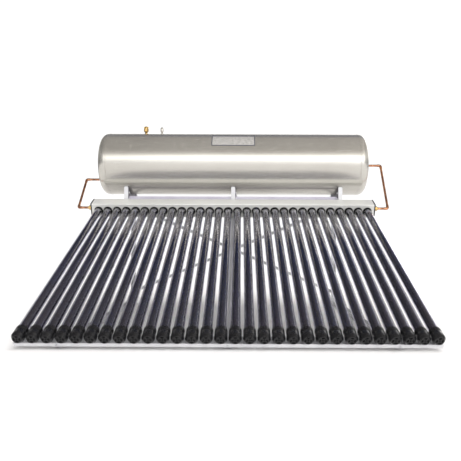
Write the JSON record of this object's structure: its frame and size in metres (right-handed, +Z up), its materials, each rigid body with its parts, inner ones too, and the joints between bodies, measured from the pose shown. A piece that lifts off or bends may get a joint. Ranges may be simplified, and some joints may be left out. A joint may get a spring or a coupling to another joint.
{
  "type": "evacuated tube solar water heater",
  "caption": "Sloping bank of glass evacuated tubes feeding a manifold, piped to a horizontal insulated steel tank on a three-legged folded metal frame.",
  "frame": {"origin": "middle of the footprint at floor level, under the centre of the bounding box", "axes": "+X along the tank, the tubes run down towards -Y, +Z up"},
  "size_m": [2.5622, 2.1836, 1.549],
  "materials": {
    "tank_steel": "satin",
    "vessel_steel": "satin",
    "foam": "matte",
    "mineral_wool": "matte",
    "casing_metal": "satin",
    "frame_steel": "satin",
    "tube_glass": "gloss",
    "absorber_coating": "gloss",
    "spring_steel": "satin",
    "copper": "satin",
    "fin_aluminium": "satin",
    "black_rubber": "matte",
    "black_plastic": "matte",
    "brass": "satin",
    "port_steel": "satin",
    "float_plastic": "satin",
    "magnesium": "matte",
    "zinc_fasteners": "satin",
    "blank_label": "gloss"
  },
  "bodies": {
    "heater": {"absorber_tubes": "absorber_coating", "air_vent_body": "port_steel", "air_vent_cap": "port_steel", "anode_rod": "magnesium", "base_rail_centre": "frame_steel", "base_rail_left": "frame_steel", "base_rail_right": "frame_steel", "bottom_rail": "frame_steel", "casing_rivets": "casing_metal", "cold_water_inlet": "port_steel", "cradle_post_centre": "frame_steel", "cradle_post_left": "frame_steel", "cradle_post_right": "frame_steel", "cross_member_left": "frame_steel", "cross_member_right": "frame_steel", "cup_plugs": "black_plastic", "dust_rings": "black_rubber", "foot_plates": "frame_steel", "front_rail_centre": "frame_steel", "front_rail_left": "frame_steel", "front_rail_right": "frame_steel", "getter_clips": "spring_steel", "header_pipe": "copper", "heat_fins": "fin_aluminium", "heat_pipes": "copper", "hot_water_outlet": "port_steel", "loop_elbows": "copper", "loop_pipe_left": "copper", "loop_pipe_right": "copper", "m6_bolts": "zinc_fasteners", "m8_bolts": "zinc_fasteners", "manifold_back_cover": "casing_metal", "manifold_casing": "casing_metal", "manifold_end_cap_left": "black_plastic", "manifold_end_cap_right": "black_plastic", "manifold_insulation": "mineral_wool", "outer_glass_tubes": "tube_glass", "rear_braces": "frame_steel", "rear_leg_centre": "frame_steel", "rear_leg_left": "frame_steel", "rear_leg_right": "frame_steel", "relief_valve_body": "brass", "relief_valve_spring": "spring_steel", "saddle_pads": "black_rubber", "tank_end_cap_left": "tank_steel", "tank_end_cap_right": "tank_steel", "tank_inner_vessel": "vessel_steel", "tank_insulation": "foam", "tank_label": "blank_label", "tank_port_left": "port_steel", "tank_port_right": "port_steel", "tank_saddle_centre": "frame_steel", "tank_saddle_left": "frame_steel", "tank_saddle_right": "frame_steel", "tank_shell": "tank_steel", "tube_cups": "black_plastic", "union_nuts": "brass"},
    "relief_knob": {"relief_valve_knob": "brass"},
    "relief_poppet": {"relief_valve_poppet": "brass"},
    "vent_float": {"air_vent_float": "float_plastic"}
  },
  "joints": [
    {"name": "relief_knob_turn", "type": "hinge", "parent": "heater", "child": "relief_knob", "pos_m": [-0.758, 0.81384, 1.534], "axis": [0, 0, 1], "range_deg": [0, 90]},
    {"name": "relief_poppet_lift", "type": "slide", "parent": "heater", "child": "relief_poppet", "axis": [0, 0, 1], "range_m": [0, 0.003], "deforming": ["relief_valve_spring"]},
    {"name": "vent_float_lift", "type": "slide", "parent": "heater", "child": "vent_float", "axis": [0, 0, 1], "range_m": [0, 0.004]}
  ],
  "couplings": [
    {"joint": "relief_poppet_lift", "follows": "relief_knob_turn", "m_per_rad": 0.0019}
  ]
}
